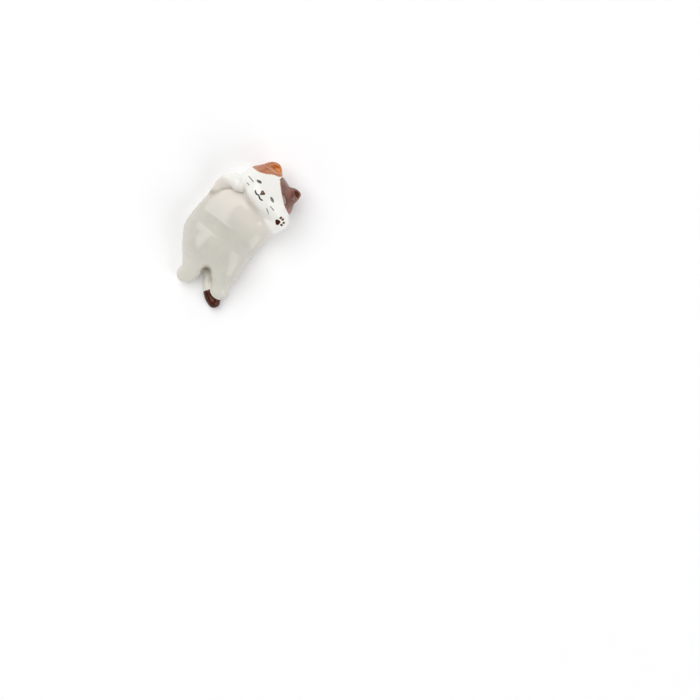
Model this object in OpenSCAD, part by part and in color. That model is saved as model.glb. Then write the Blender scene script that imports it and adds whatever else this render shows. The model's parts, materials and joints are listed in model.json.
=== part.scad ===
// Glazed ceramic chopstick rest: a calico cat lying on its back.
// The head points along +Y, the face and the tummy look up along +Z, and left and right are the cat's own.
// The clay pieces are joined with slip before firing, and the colours are thin enamel coats on top.

/* [Torso] */
// Distance from the torso's middle to the rump
rump_l = 15; // [14.4:0.1:15.8]
// Distance from the torso's middle to the neck
neck_l = 16.5; // [15.8:0.1:17.2]
// Width of the torso across the tummy
torso_w = 26.4; // [25:0.2:28]
// Height of the tummy over the table
tummy_h = 13.6; // [13:0.1:15]
// Height of the torso's widest line over the table
flank_h = 5; // [4:0.1:6]
// Depth of the torso's round underside that is ground off flat
torso_grind = 1.4; // [1:0.1:2]
// How far the rump bends towards the cat's left
rump_bend = 4; // [3:0.1:5]
// How far the neck bends towards the cat's left
neck_bend = 0.8; // [0:0.1:2]

/* [Saddle] */
// Height of the saddle's floor over the table
saddle_h = 9.7; // [9:0.1:10.4]
// Distance of the saddle from the torso's middle towards the neck
saddle_y = 3.4; // [2.4:0.1:4.4]
// Length of each slope of the saddle
saddle_slope_l = 8.4; // [7.6:0.1:9.2]
// Height of the chest's full form between the saddle and the chin
chest_h = 10.6; // [10:0.1:11.4]

/* [Head] */
// Width of the head across the cheeks
head_w = 22.4; // [21:0.2:24]
// Distance from the cheeks to the crown
crown_l = 9.3; // [8.5:0.1:10.5]
// Distance from the cheeks to the chin
chin_l = 5.2; // [4.6:0.1:5.8]
// Height of the face over the table
face_h = 16.5; // [15.5:0.1:18]
// Height of the head's widest line over the table
cheek_h = 7.5; // [6.5:0.1:8.5]
// Depth of the head's round underside that is ground off flat
head_grind = 1; // [0.5:0.1:1.5]
// Sideways place of the head against the torso's middle
head_x = 2.9; // [2:0.1:4]
// Distance of the cheeks beyond the torso's neck end
head_out = 1.1; // [0.5:0.1:2]
// Turn of the head towards the cat's left, in degrees
head_turn = 14; // [8:1:18]

/* [Muzzle] */
// Width of the muzzle pad
muzzle_w = 8.8; // [8:0.1:9.6]
// Length of the muzzle pad from nose to chin
muzzle_l = 6.8; // [6.2:0.1:7.4]
// Thickness of the muzzle pad's full form
muzzle_t = 9.4; // [8.6:0.1:10.2]
// How far the muzzle stands over the face
muzzle_rise = 0.8; // [0.6:0.05:1.2]

/* [Ears] */
// Length of the right ear from its root to the middle of its tip
right_ear_l = 3.6; // [3.4:0.1:4]
// Length of the left ear from its root to the middle of its tip
left_ear_l = 4.1; // [3.8:0.1:4.6]
// Radius of the right ear at its root
right_ear_root_r = 4.3; // [4.1:0.05:4.5]
// Radius of the left ear at its root
left_ear_root_r = 3.6; // [3.4:0.05:3.9]
// Radius of the right ear's tip
right_ear_tip_r = 1.85; // [1.7:0.05:2]
// Radius of the left ear's tip
left_ear_tip_r = 1.5; // [1.3:0.05:1.7]
// Height of the ear's middle over the table
ear_h = 10.4; // [9.4:0.1:11]
// Thickness of the ear at its root
ear_t = 6.4; // [5.6:0.1:7]

/* [Forelegs] */
// Reach of the curled foreleg from shoulder to paw
curled_reach = 8.5; // [7.8:0.1:9.2]
// Radius of the curled foreleg
curled_r = 2.65; // [2.4:0.05:2.9]
// Height of the middle of both shoulders over the table
shoulder_h = 5.2; // [4.8:0.1:5.6]
// Height of the curled paw's middle over the table
curled_paw_h = 10.8; // [10:0.1:11.4]
// Reach of the open foreleg from shoulder to paw
open_reach = 8.7; // [8:0.1:9.4]
// Radius of the open foreleg, seen from above
open_r = 3.55; // [3.3:0.05:3.8]
// Height of the open paw's middle over the table
open_paw_h = 10.4; // [9.6:0.1:11.2]

/* [Hind legs] */
// Reach of the right hind leg from hip to foot
right_leg_reach = 10; // [9.2:0.1:10.8]
// Reach of the left hind leg from hip to foot
left_leg_reach = 7.4; // [6.8:0.1:8]
// Radius of the right thigh at the hip
right_thigh_r = 5.7; // [5.4:0.05:5.9]
// Radius of the left thigh at the hip
left_thigh_r = 4.7; // [4.5:0.05:4.9]
// Radius of both feet
foot_r = 3.1; // [2.8:0.05:3.2]
// Height of the middle of both hips over the table
hip_h = 5.9; // [5.5:0.1:6.3]
// Height of the middle of both feet over the table
foot_h = 3.2; // [2.9:0.1:3.8]

/* [Tail] */
// Sideways reach of the tail from root to tip
tail_reach = 8.9; // [8.2:0.1:9.6]
// Radius of the tail at its root
tail_root_r = 1.6; // [1.4:0.05:1.8]
// Radius of the tail at its tip
tail_tip_r = 2.15; // [1.95:0.05:2.3]
// Depth of the tail's round underside that is ground off flat
tail_grind = 0.2; // [0.1:0.05:0.4]

/* [Slip] */
// Width of the slip fillet between the torso and each thigh
hip_fillet_w = 3.4; // [2.4:0.2:4]
// Width of the slip fillet between the torso and each foreleg
shoulder_fillet_w = 2.4; // [1.6:0.2:3]
// Width of the slip fillet between the torso and the head
neck_fillet_w = 2.6; // [1.6:0.2:3]

/* [Enamel] */
// Thickness of a colour coat
coat_t = 0.2; // [0.15:0.05:0.3]
// Height over the table at which the colour coats stop
coat_foot_h = 1.2; // [0.8:0.1:2]
// Length of an eye
eye_l = 2.1; // [1.8:0.1:2.4]
// Width of an eye
eye_w = 0.95; // [0.8:0.05:1.1]
// Width of the nose
nose_w = 1.5; // [1.2:0.1:1.8]
// Width of the line of the mouth
mouth_line_w = 0.32; // [0.25:0.01:0.4]
// Width of each of the mouth's two curls
mouth_curl_w = 2.25; // [2:0.05:2.5]
// Width of a whisker
whisker_w = 0.26; // [0.2:0.01:0.35]
// Width of the paw's heel pad
heel_pad_w = 1.9; // [1.7:0.05:2.1]
// Width of a toe pad
toe_pad_w = 0.8; // [0.7:0.02:0.86]
// Length of the coloured field in the cup of an ear
lining_l = 2.8; // [2.4:0.1:3.2]
// Width of the coloured field in the cup of an ear
lining_w = 2.6; // [2.2:0.1:3]

/* [Hidden] */

// Where the torso's middle stands, so that the middle of the whole outline is the origin
mid_x = -1.11;
mid_y = -2.27;

// Room that cutting blocks reach past the cat
overrun = 20;

// Roundness of the forms: 2 is an ellipse and more is squarer
torso_section_power = 2.4;
torso_width_power = 4;
torso_height_power = 2.5;
bend_power = 4;
head_power = 2.3;
head_section_power = 2.4;
muzzle_power = 2.6;
saddle_power = 4;

// Sides of a ring and rings of a form
torso_sides = 40;
torso_steps = 26;
head_sides = 40;
head_rings = 20;
muzzle_sides = 24;
muzzle_rings = 12;
limb_sides = 24;
limb_steps = 9;
tail_steps = 20;
cap_steps = 4;
oval_sides = 20;

// Angle of the first and last ring from the middle of a closed form, in degrees
end_angle = 89.5;
// Share of the way between two points of a limb over which its direction is taken
tangent_share = 0.01;

// Share of the way between two points of a limb at which a ball stands for it
ball_share = 1 / 3;
// Step over which the slope of a form is taken
slope_step = 0.05;
// Least share that a size is divided by
least_share = 0.001;

// Share of its width that the torso loses at the neck
neck_taper_share = 0.2;
// Share of its width that an open paw has as thickness
open_flat_share = 0.82;

// Shoulders and hips in shares of the torso's half width and of its length to the neck or the rump
right_shoulder_shares = [-0.77, 0.39];
left_shoulder_shares = [0.63, 0.34];
right_hip_shares = [-0.21, -0.8];
left_hip_shares = [0.674, -0.793];
// Root of the tail against the left hip, in shares of the thigh's radius
tail_root_shares = [-0.966, -0.489];

// Middle lines of the limbs in shares of their reach, with the share of the rise and of the change of radius
curled_path_shares = [[0, 0, 0, 0], [-0.12, 0.44, 0.15, 0], [-0.07, 0.76, 0.45, 0],
    [0.19, 0.99, 0.8, 0], [0.45, 1, 1, 0]];
open_path_shares = [[0, 0, 0, 0], [0.23, 0.46, 0.3, 0], [0.39, 0.78, 0.7, 0], [0.49, 1, 1, 0]];
right_leg_path_shares = [[0, 0, 0, 0], [0.22, -0.6, 0.5, 0.7], [0.18, -0.97, 1, 1]];
left_leg_path_shares = [[0, 0, 0, 0], [0.19, -0.43, 0.5, 0.9], [0.44, -0.865, 1, 1]];
tail_path_shares = [[0, 0, 0, 0], [0.05, -0.22, 0, 0], [0.2, -0.4, 0.1, 0.05], [0.33, -0.58, 0.2, 0.15],
    [0.54, -0.76, 0.5, 0.45], [0.78, -0.91, 0.8, 0.8], [1, -0.97, 1, 1]];
ear_path_shares = [[0, 0, 0, 0], [0.4, 0.53, 0, 0.34], [1, 0.97, 0, 1]];
// How far each ear leans outwards, in shares of its length
right_ear_lean_share = 0.22;
left_ear_lean_share = 0.35;

// Places on the head in shares of its half width and of the distance from cheeks to crown
right_ear_shares = [-0.44, 0.585];
left_ear_shares = [0.446, 0.591];
muzzle_place_shares = [-0.067, -0.16];
right_eye_shares = [-0.45, 0.155];
left_eye_shares = [0.26, 0.148];
nose_shares = [-0.104, 0.045];
mouth_shares = [-0.112, -0.142];
right_whisker_shares = [[[-0.82, -0.046], [-0.54, -0.028]], [[-0.66, -0.25], [-0.53, -0.224]]];
left_whisker_shares = [[[0.345, -0.214], [0.55, -0.273]], [[0.395, -0.055], [0.557, -0.039]]];
orange_edge_shares = [[-0.16, 1.6], [-0.17, 0.957], [-0.357, 0.753], [-0.56, 0.495], [-0.73, 0.355],
    [-0.955, 0.27], [-1.4, 0.2], [-1.4, 1.6]];
brown_edge_shares = [[-0.13, 1.6], [1.4, 1.6], [1.4, 0.336], [1, 0.336], [0.857, 0.34], [0.62, 0.402],
    [0.344, 0.54], [0.08, 0.694], [-0.06, 0.806], [-0.14, 0.925]];

// Turn of each eye against the face, in degrees
right_eye_turn = 20;
left_eye_turn = -7;

// Places of the pads against the open paw's middle, in shares of the foreleg's radius
heel_pad_shares = [0, -0.25];
toe_pad_shares = [[-0.03, 0.28], [0.23, 0.28], [0.51, 0.09], [0.48, -0.22]];

// Share of the tail's length where its dark tip starts
tail_tip_share = 0.66;
// Share of the ear's length where its lining lies
lining_share = 0.88;
// How far the sides of a small painted triangle are drawn in and out
triangle_share = 0.14;
// Share of its width that the nose has as length
nose_l_share = 0.88;
// Share of its radius that a curl of the mouth has as depth
curl_depth_share = 0.65;
// Share of the way from mouth to nose that the lip's line covers
lip_share = 0.7;
// Step between the points of a curl, in degrees
curl_step = 22.5;

// Colours of the glaze and the enamels
white_glaze = [0.92, 0.91, 0.87];
orange_enamel = [0.78, 0.46, 0.3];
orange_lining = [0.82, 0.4, 0.2];
brown_enamel = [0.42, 0.26, 0.21];
dark_enamel = [0.3, 0.14, 0.08];
line_enamel = [0.22, 0.2, 0.2];

head_y = neck_l + head_out;
half_w = torso_w / 2;
cheek_r = head_w / 2;

function spow(v, e) = sign(v) * pow(abs(v), e);
function dome(s, p) = pow(max(0, 1 - pow(abs(s), p)), 1 / p);
function place(shares) = [shares.x * cheek_r, shares.y * crown_l];
function half_l(y) = y < 0 ? rump_l : neck_l;
function torso_place(shares) = [shares.x * half_w, shares.y * half_l(shares.y)];

// One ring of a form that lies along Y
function section(x, y, w, top, mid, low, sides, p) = [for (j = [0:sides - 1])
    let (c = cos(360 * j / sides), q = sin(360 * j / sides))
    [x + w * spow(c, 2 / p), y, mid + (q > 0 ? top - mid : mid - low) * spow(q, 2 / p)]];

// Closed skin over a list of rings with the same number of points
module skin(rings) {
    n = len(rings[0]);
    m = len(rings);
    walls = [for (i = [0:m - 2], j = [0:n - 1])
        let (a = i * n + j, b = i * n + (j + 1) % n) each [[a, b, a + n], [b, b + n, a + n]]];
    first = [for (j = [n - 1:-1:0]) j];
    last = [for (j = [0:n - 1]) (m - 1) * n + j];
    polyhedron([for (r = rings) each r], concat(walls, [first, last]));
}

// Height of the torso's form over its widest line, which sinks to the saddle between tummy and chest
function crown_height(y) = let (full = (y < saddle_y ? tummy_h : chest_h) - flank_h)
    let (end_share = max(least_share, dome(y / half_l(y), torso_height_power)))
    let (floor_share = (saddle_h - flank_h) / (full * end_share))
    let (rise = pow(sin(90 * min(1, abs(y - saddle_y) / saddle_slope_l)), saddle_power))
    full * min(1, rise + floor_share * (1 - rise));

// Sideways place of the torso's middle line, which bends to the cat's left at both ends
function torso_mid(s) = (s < 0 ? rump_bend : neck_bend) * pow(abs(s), bend_power);

// Half width of the torso's form, which narrows towards the neck
function torso_half(s) = half_w * (1 - neck_taper_share * pow(max(0, s), 2));

// Size of the superellipse through the point at x and z, where the one with half sizes w and h is 1
function ring_size(x, z, w, h, p) = pow(pow(abs(x) / w, p) + pow(abs(z) / h, p), 1 / p);

// The same for the torso at a point q, with a power between those of its width and its height
function torso_size(q) = let (s = q.y / half_l(q.y), z = q.z - flank_h, x = q.x - torso_mid(s))
    let (w = torso_half(s), h = z > 0 ? crown_height(q.y) : flank_h + torso_grind)
    let (ring = ring_size(x, z, w, h, torso_section_power))
    let (wide_share = pow(abs(x) / w / max(least_share, ring), torso_section_power))
    ring_size(ring, s, 1, 1, torso_height_power + (torso_width_power - torso_height_power) * wide_share);

// The same for the head, with q in the head's own place and turn
function head_size(q) = let (z = q.z - cheek_h, h = z > 0 ? face_h - cheek_h : cheek_h + head_grind)
    let (ring = ring_size(q.x, z, cheek_r, h, head_section_power))
    ring_size(ring, q.y / (q.y < 0 ? chin_l : crown_l), 1, 1, head_power);

// Place of a point q of the row in the head's own place and turn, and the other way round
function in_head(q) = let (c = cos(head_turn), s = sin(head_turn), x = q.x - head_x, y = q.y - head_y)
    [c * x - s * y, s * x + c * y, q.z];
function from_head(q) = let (c = cos(head_turn), s = sin(head_turn))
    [head_x + c * q.x + s * q.y, head_y - s * q.x + c * q.y, q.z];

// Distance of a point from the torso and from the head, less than 0 inside
axes = [[slope_step, 0, 0], [0, slope_step, 0], [0, 0, slope_step]];
function torso_gap(q) = let (v = torso_size(q))
    slope_step * (v - 1) / norm([for (d = axes) torso_size(q + d) - v]);
function head_gap(p) = let (q = in_head(p), v = head_size(q))
    slope_step * (v - 1) / norm([for (d = axes) head_size(q + d) - v]);

// Distance of a point from a round limb that is taken as a row of balls
function balls(p) = [for (k = [0:ball_share:len(p) - 1]) let (c = along(p, k)) [[c[0], c[1], c[2]], c[3]]];
function ball_gap(q, balls) = min([for (b = balls) norm(q - b[0]) - b[1]]);

// How far slip of width w lifts a surface at the distance gap from the other one
function slip(gap, w) = w / 4 * pow(max(0, 1 - abs(gap) / w), 2);

// Rings whose points are moved outwards, each by its own lift
function lifted(rings, lifts) = let (m = len(rings) - 1, n = len(rings[0]))
    [for (i = [0:m]) [for (j = [0:n - 1])
        let (round = rings[i][(j + 1) % n] - rings[i][(j + n - 1) % n])
        let (on = rings[min(m, i + 1)][j] - rings[max(0, i - 1)][j], out = cross(on, round))
        rings[i][j] + (lifts[i][j] > 0 ? out * lifts[i][j] / norm(out) : [0, 0, 0])]];

// Points of a limb from its root, its path, the heights at both ends and the radii at both ends
function limb_points(root, path, reach, h0, h1, r0, r1) = [for (s = path)
    [root.x + s[0] * reach, root.y + s[1] * reach, h0 + (h1 - h0) * s[2], r0 + (r1 - r0) * s[3]]];

curled_points = limb_points(torso_place(right_shoulder_shares), curled_path_shares, curled_reach,
    shoulder_h, curled_paw_h, curled_r, curled_r);
open_points = limb_points(torso_place(left_shoulder_shares), open_path_shares, open_reach,
    shoulder_h, open_paw_h, open_r, open_r);
right_leg_points = limb_points(torso_place(right_hip_shares), right_leg_path_shares, right_leg_reach,
    hip_h, foot_h, right_thigh_r, foot_r);
left_leg_points = limb_points(torso_place(left_hip_shares), left_leg_path_shares, left_leg_reach,
    hip_h, foot_h, left_thigh_r, foot_r);

torso_rings = [for (i = [0:torso_steps]) let (s = sin(end_angle * (2 * i / torso_steps - 1)))
    let (y = half_l(s) * s, e = dome(s, torso_height_power), w = torso_half(s) * dome(s, torso_width_power))
    section(torso_mid(s), y, w, flank_h + crown_height(y) * e, flank_h, flank_h - (flank_h + torso_grind) * e,
        torso_sides, torso_section_power)];

// The torso with the slip that runs into the head and the limbs
leg_balls = concat(balls(right_leg_points), balls(left_leg_points));
foreleg_balls = concat(balls(curled_points), balls(open_points));
torso_skin = lifted(torso_rings, [for (ring = torso_rings) [for (q = ring)
    q.y < 0 ? slip(ball_gap(q, leg_balls), hip_fillet_w)
    : max(slip(head_gap(q), neck_fillet_w), slip(ball_gap(q, foreleg_balls), shoulder_fillet_w))]]);

module torso_form() {
    skin(torso_skin);
}

// Rings of the head grown by t on every side, in its own place and turn
function head_skin(t) = let (rings = [for (i = [0:head_rings])
    let (s = sin(end_angle * (2 * i / head_rings - 1)), e = dome(s, head_power))
    [for (q = section(0, s * ((s < 0 ? chin_l : crown_l) + t), (cheek_r + t) * e,
        cheek_h + (face_h - cheek_h + t) * e, cheek_h, cheek_h - (cheek_h + head_grind + t) * e,
        head_sides, head_section_power)) from_head(q)]])
    lifted(rings, [for (ring = rings) [for (q = ring)
        q.y < head_y ? slip(torso_gap(q), neck_fillet_w) : 0]]);
bare_head = head_skin(0);
coated_head = head_skin(coat_t);

module head_form(coated = false) {
    skin(coated ? coated_head : bare_head);
}

module muzzle_form(t = 0) {
    mid = face_h + muzzle_rise - muzzle_t / 2;
    on_head() translate(place(muzzle_place_shares))
        skin([for (i = [0:muzzle_rings]) let (s = sin(end_angle * (2 * i / muzzle_rings - 1)))
            let (e = dome(s, muzzle_power))
            section(0, s * (muzzle_l / 2 + t), (muzzle_w / 2 + t) * e, mid + (muzzle_t / 2 + t) * e,
                mid, mid - (muzzle_t / 2 + t) * e, muzzle_sides, muzzle_power)]);
}

module on_head() {
    translate([head_x, head_y, 0]) rotate(-head_turn) children();
}

// Point at t on a smooth curve through the points p
function along(p, t) = let (i = min(floor(t), len(p) - 2), f = t - i)
    let (a = p[max(i - 1, 0)], b = p[i], c = p[i + 1], d = p[min(i + 2, len(p) - 1)])
    (2 * b + (c - a) * f + (2 * a - 5 * b + 4 * c - d) * f * f + (3 * b - a - 3 * c + d) * f * f * f) / 2;

// Direction of that curve at t
function heading(p, t) = let (a = max(0, t - tangent_share), b = min(len(p) - 1, t + tangent_share))
    let (d = along(p, b) - along(p, a), v = [d[0], d[1], d[2]]) v / norm(v);

// Ring round a point of a limb, where reach moves it along the limb and thin is its share of thickness
function limb_ring(p, t, reach, width, thin) = let (c = along(p, t), v = heading(p, t))
    let (side = cross(v, [0, 0, 1]) / norm(cross(v, [0, 0, 1])), lift = cross(side, v))
    [for (j = [0:limb_sides - 1]) let (a = 360 * j / limb_sides)
        [c[0], c[1], c[2]] + v * reach * c[3] + (side * cos(a) + lift * sin(a) * thin) * width * c[3]];

// Rings of a round limb along the points p of x, y, z and radius, from share a to share b of its length
function limb_rings(p, thin, steps, a, b) = let (n = len(p) - 1) concat(
    [for (k = [0:cap_steps - 1]) let (f = end_angle * (1 - k / cap_steps))
        limb_ring(p, a * n, -sin(f), cos(f), thin)],
    [for (k = [0:steps]) limb_ring(p, n * (a + (b - a) * k / steps), 0, 1, thin)],
    [for (k = [1:cap_steps]) let (f = end_angle * k / cap_steps)
        limb_ring(p, b * n, sin(f), cos(f), thin)]);

module limb(p, thin = 1, steps = limb_steps, a = 0, b = 1) {
    skin(limb_rings(p, thin, steps, a, b));
}

// Round limb with slip of width w where it runs into the torso
module luted_limb(p, w, thin = 1) {
    rings = limb_rings(p, thin, limb_steps, 0, 1);
    skin(lifted(rings, [for (ring = rings) [for (q = ring) slip(torso_gap(q), w)]]));
}

module right_foreleg_form() {
    luted_limb(curled_points, shoulder_fillet_w);
}

module left_foreleg_form(t = 0) {
    luted_limb([for (q = open_points) [q[0], q[1], q[2], q[3] + t]], shoulder_fillet_w, open_flat_share);
}

module right_hind_leg_form() {
    luted_limb(right_leg_points, hip_fillet_w);
}

module left_hind_leg_form() {
    luted_limb(left_leg_points, hip_fillet_w);
}

module tail_form(t = 0, a = 0) {
    root = torso_place(left_hip_shares) + tail_root_shares * left_thigh_r;
    limb(limb_points(root, tail_path_shares, tail_reach, tail_root_r - tail_grind,
        tail_tip_r - tail_grind, tail_root_r + t, tail_tip_r + t), 1, tail_steps, a, 1);
}

// Middle of an ear on the head's plane, at the point s of its path
function ear_lean(side) = side * (side < 0 ? right_ear_lean_share : left_ear_lean_share);
function ear_place(side, s) = place(side < 0 ? right_ear_shares : left_ear_shares)
    + [ear_lean(side) * s[0], s[1]] * (side < 0 ? right_ear_l : left_ear_l);

module ear_form(side, t = 0) {
    root_r = side < 0 ? right_ear_root_r : left_ear_root_r;
    tip_r = side < 0 ? right_ear_tip_r : left_ear_tip_r;
    on_head() limb([for (s = ear_path_shares) let (q = ear_place(side, s))
        [q.x, q.y, ear_h, root_r + (tip_r - root_r) * s[3] + t]], ear_t / (2 * root_r));
}

// What is left of a form over the table
module over_table() {
    difference() {
        children();
        translate([-overrun * 2, -overrun * 2, -overrun]) cube([overrun * 4, overrun * 4, overrun]);
    }
}

// Moves the cat so that the middle of its whole outline is the origin
module stand() {
    translate([mid_x, mid_y, 0]) children();
}

// Upright prism over an outline on the head, from the height h up
module head_prism(h = cheek_h) {
    on_head() translate([0, 0, h]) linear_extrude(overrun) children();
}

function oval(l, w) = [for (j = [0:oval_sides - 1])
    [cos(360 * j / oval_sides) * l, sin(360 * j / oval_sides) * w] / 2];

// Triangle with round sides, whose tip points up for a positive bulge and down for a negative one
function soft_triangle(w, l, bulge_share) = [for (j = [0:oval_sides - 1]) let (a = 360 * j / oval_sides)
    [cos(a) * w, sin(a) * l] * (1 - bulge_share * sin(3 * a)) / 2];

// Outline of a line of width w along the points p, drawn to half the width at its ends
function stroke(p, w) = let (n = len(p) - 1)
    let (sides = [for (i = [0:n]) let (d = p[min(n, i + 1)] - p[max(0, i - 1)], u = d / norm(d))
        [-u.y, u.x] * w / 2 * (i == 0 || i == n ? 1 / 2 : 1)])
    concat([for (i = [0:n]) p[i] - sides[i]], [for (i = [n:-1:0]) p[i] + sides[i]]);

module torso() {
    color(white_glaze) stand() over_table() torso_form();
}

module head() {
    color(white_glaze) stand() over_table() difference() {
        head_form();
        torso_form();
    }
}

module muzzle() {
    color(white_glaze) stand() difference() {
        muzzle_form();
        head_form();
        torso_form();
    }
}

module ear(side) {
    difference() {
        ear_form(side);
        head_form();
    }
}

module right_ear() {
    color(white_glaze) stand() ear(-1);
}

module left_ear() {
    color(white_glaze) stand() ear(1);
}

module right_foreleg() {
    color(white_glaze) stand() difference() {
        right_foreleg_form();
        torso_form();
        head_form();
    }
}

module left_foreleg() {
    color(white_glaze) stand() difference() {
        left_foreleg_form();
        torso_form();
        head_form();
    }
}

module right_hind_leg() {
    color(white_glaze) stand() over_table() difference() {
        right_hind_leg_form();
        torso_form();
    }
}

module left_hind_leg() {
    color(white_glaze) stand() over_table() difference() {
        left_hind_leg_form();
        torso_form();
    }
}

module tail() {
    color(white_glaze) stand() over_table() difference() {
        tail_form();
        torso_form();
        right_hind_leg_form();
        left_hind_leg_form();
    }
}

module tail_tip() {
    color(dark_enamel) stand() over_table() difference() {
        tail_form(coat_t, tail_tip_share);
        tail_form();
        left_hind_leg_form();
    }
}

// Coat on one side of the head and its ear, inside an outline
module patch(side, edge_shares) {
    difference() {
        intersection() {
            union() {
                head_form(true);
                ear_form(side, coat_t);
            }
            head_prism(coat_foot_h) polygon([for (s = edge_shares) place(s)]);
        }
        head_form();
        ear_form(side);
    }
}

module orange_patch() {
    color(orange_enamel) stand() patch(-1, orange_edge_shares);
}

module brown_patch() {
    color(brown_enamel) stand() patch(1, brown_edge_shares);
}

// Deeper coat in the cup of an ear, over the patch
module lining(side) {
    tip = ear_path_shares[len(ear_path_shares) - 1];
    lean = atan(ear_lean(side) * tip[0] / tip[1]);
    difference() {
        intersection() {
            ear_form(side, coat_t * 2);
            head_prism(ear_h) translate(ear_place(side, tip * lining_share))
                rotate(-lean) polygon(soft_triangle(lining_w, lining_l, triangle_share));
        }
        ear_form(side, coat_t);
        head_form(true);
    }
}

module right_ear_lining() {
    color(orange_lining) stand() lining(-1);
}

module left_ear_lining() {
    color(dark_enamel) stand() lining(1);
}

// Coat on the face inside an outline
module face_coat() {
    difference() {
        intersection() {
            head_form(true);
            head_prism() children();
        }
        head_form();
        muzzle_form();
    }
}

// Coat that lies on the muzzle and the face inside an outline
module muzzle_coat() {
    difference() {
        intersection() {
            union() {
                head_form(true);
                muzzle_form(coat_t);
            }
            head_prism() children();
        }
        head_form();
        muzzle_form();
    }
}

module right_eye() {
    color(line_enamel) stand() face_coat() translate(place(right_eye_shares)) rotate(right_eye_turn)
        polygon(oval(eye_l, eye_w));
}

module left_eye() {
    color(line_enamel) stand() face_coat() translate(place(left_eye_shares)) rotate(left_eye_turn)
        polygon(oval(eye_l, eye_w));
}

module nose() {
    color(dark_enamel) stand() muzzle_coat() translate(place(nose_shares))
        polygon(soft_triangle(nose_w, nose_w * nose_l_share, -triangle_share));
}

// Two curls that meet under the nose, and the short line up to it
module mouth() {
    r = mouth_curl_w / 2;
    color(line_enamel) stand() muzzle_coat() translate(place(mouth_shares)) {
        for (side = [-1, 1])
            polygon(stroke([for (a = [0:curl_step:180]) [side * r - r * cos(a),
                -r * curl_depth_share * sin(a)]], mouth_line_w));
        polygon(stroke([[0, -mouth_line_w / 2], (place(nose_shares) - place(mouth_shares))
            * lip_share], mouth_line_w));
    }
}

module whiskers(shares) {
    face_coat() for (s = shares)
        polygon(stroke([for (f = [0, 1 / 2, 1]) place(s[0] * (1 - f) + s[1] * f)], whisker_w));
}

module right_whiskers() {
    color(line_enamel) stand() whiskers(right_whisker_shares);
}

module left_whiskers() {
    color(line_enamel) stand() whiskers(left_whisker_shares);
}

// Coat on the open paw inside outlines around its middle
module paw_coat() {
    paw = open_points[len(open_points) - 1];
    difference() {
        intersection() {
            left_foreleg_form(coat_t);
            translate([paw[0], paw[1], open_paw_h]) linear_extrude(overrun) children();
        }
        left_foreleg_form();
        head_form();
    }
}

module paw_heel_pad() {
    color(dark_enamel) stand() paw_coat() translate(heel_pad_shares * open_r)
        polygon(oval(heel_pad_w, heel_pad_w));
}

module paw_toe_pads() {
    color(dark_enamel) stand() paw_coat() for (s = toe_pad_shares)
        translate(s * open_r) polygon(oval(toe_pad_w, toe_pad_w));
}

torso();
head();
muzzle();
right_ear();
left_ear();
right_foreleg();
left_foreleg();
right_hind_leg();
left_hind_leg();
tail();
tail_tip();
orange_patch();
brown_patch();
right_ear_lining();
left_ear_lining();
right_eye();
left_eye();
nose();
mouth();
right_whiskers();
left_whiskers();
paw_heel_pad();
paw_toe_pads();
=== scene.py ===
# Glazed cat that lies on its back: the finish of a small ceramic rest, in millimetres until a mesh is made
import json
import math

import bpy
import numpy as np
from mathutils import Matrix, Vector


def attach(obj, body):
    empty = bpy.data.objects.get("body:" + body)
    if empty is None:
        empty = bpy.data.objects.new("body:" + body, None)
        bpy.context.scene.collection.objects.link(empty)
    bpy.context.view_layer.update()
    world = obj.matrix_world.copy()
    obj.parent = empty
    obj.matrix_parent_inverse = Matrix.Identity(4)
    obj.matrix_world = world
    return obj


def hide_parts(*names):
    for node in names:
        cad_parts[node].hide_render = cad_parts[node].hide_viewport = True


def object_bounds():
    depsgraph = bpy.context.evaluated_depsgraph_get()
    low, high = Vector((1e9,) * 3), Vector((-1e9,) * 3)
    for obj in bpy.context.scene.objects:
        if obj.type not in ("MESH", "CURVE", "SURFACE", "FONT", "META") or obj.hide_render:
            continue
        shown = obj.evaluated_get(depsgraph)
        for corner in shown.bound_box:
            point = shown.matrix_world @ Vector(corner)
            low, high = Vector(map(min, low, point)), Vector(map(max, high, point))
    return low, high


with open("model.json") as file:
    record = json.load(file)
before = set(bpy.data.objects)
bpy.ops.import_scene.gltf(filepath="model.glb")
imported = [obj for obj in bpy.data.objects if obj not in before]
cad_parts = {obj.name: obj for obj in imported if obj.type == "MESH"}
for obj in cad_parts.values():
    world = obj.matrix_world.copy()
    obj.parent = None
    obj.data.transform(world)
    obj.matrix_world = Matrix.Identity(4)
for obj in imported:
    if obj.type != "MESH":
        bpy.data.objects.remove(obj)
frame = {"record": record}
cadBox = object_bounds()
millimetre = 0.001

# The clay forms, in millimetres: x to the cat's left, y towards its head, z up from the table
torso = {"width": 26.4, "rump": 15, "neck": 16.5, "tummy": 13.6, "chest": 10.6, "flank": 5, "ground": 1.4,
         "section": 2.4, "planPower": 4, "sidePower": 2.5, "neckTaper": 0.2, "rumpBend": 4, "neckBend": 0.8,
         "bendPower": 4, "bendEnd": 1.1, "saddle": 9.7, "saddleY": 3.4, "saddleSlope": 8.4, "saddlePower": 4}
head = {"width": 22.4, "crown": 9.3, "chin": 4.7, "face": 16.5, "cheek": 7.5, "ground": 1, "power": 2.3,
        "section": 2.4, "x": 2.9, "out": 1.1, "turn": 14}
muzzle = {"width": 8.8, "length": 6.8, "thick": 9.4, "rise": 0.34, "power": 2.6, "at": (-0.067, -0.16)}
ears = {"right_ear": {"side": -1, "root": (0.44, 0.585), "length": 3.6, "lean": 0.22, "radii": (4.3, 1.85),
                      "cup": {"at": (-0.478, 0.98), "size": (4.8, 2.55), "turn": 20, "deep": 0.4}},
        "left_ear": {"side": 1, "root": (0.446, 0.591), "length": 4.1, "lean": 0.35, "radii": (3.6, 1.5),
                     "cup": {"at": (0.57, 1.035), "size": (2.9, 1.45), "turn": -9, "deep": 0.7}}}
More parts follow.
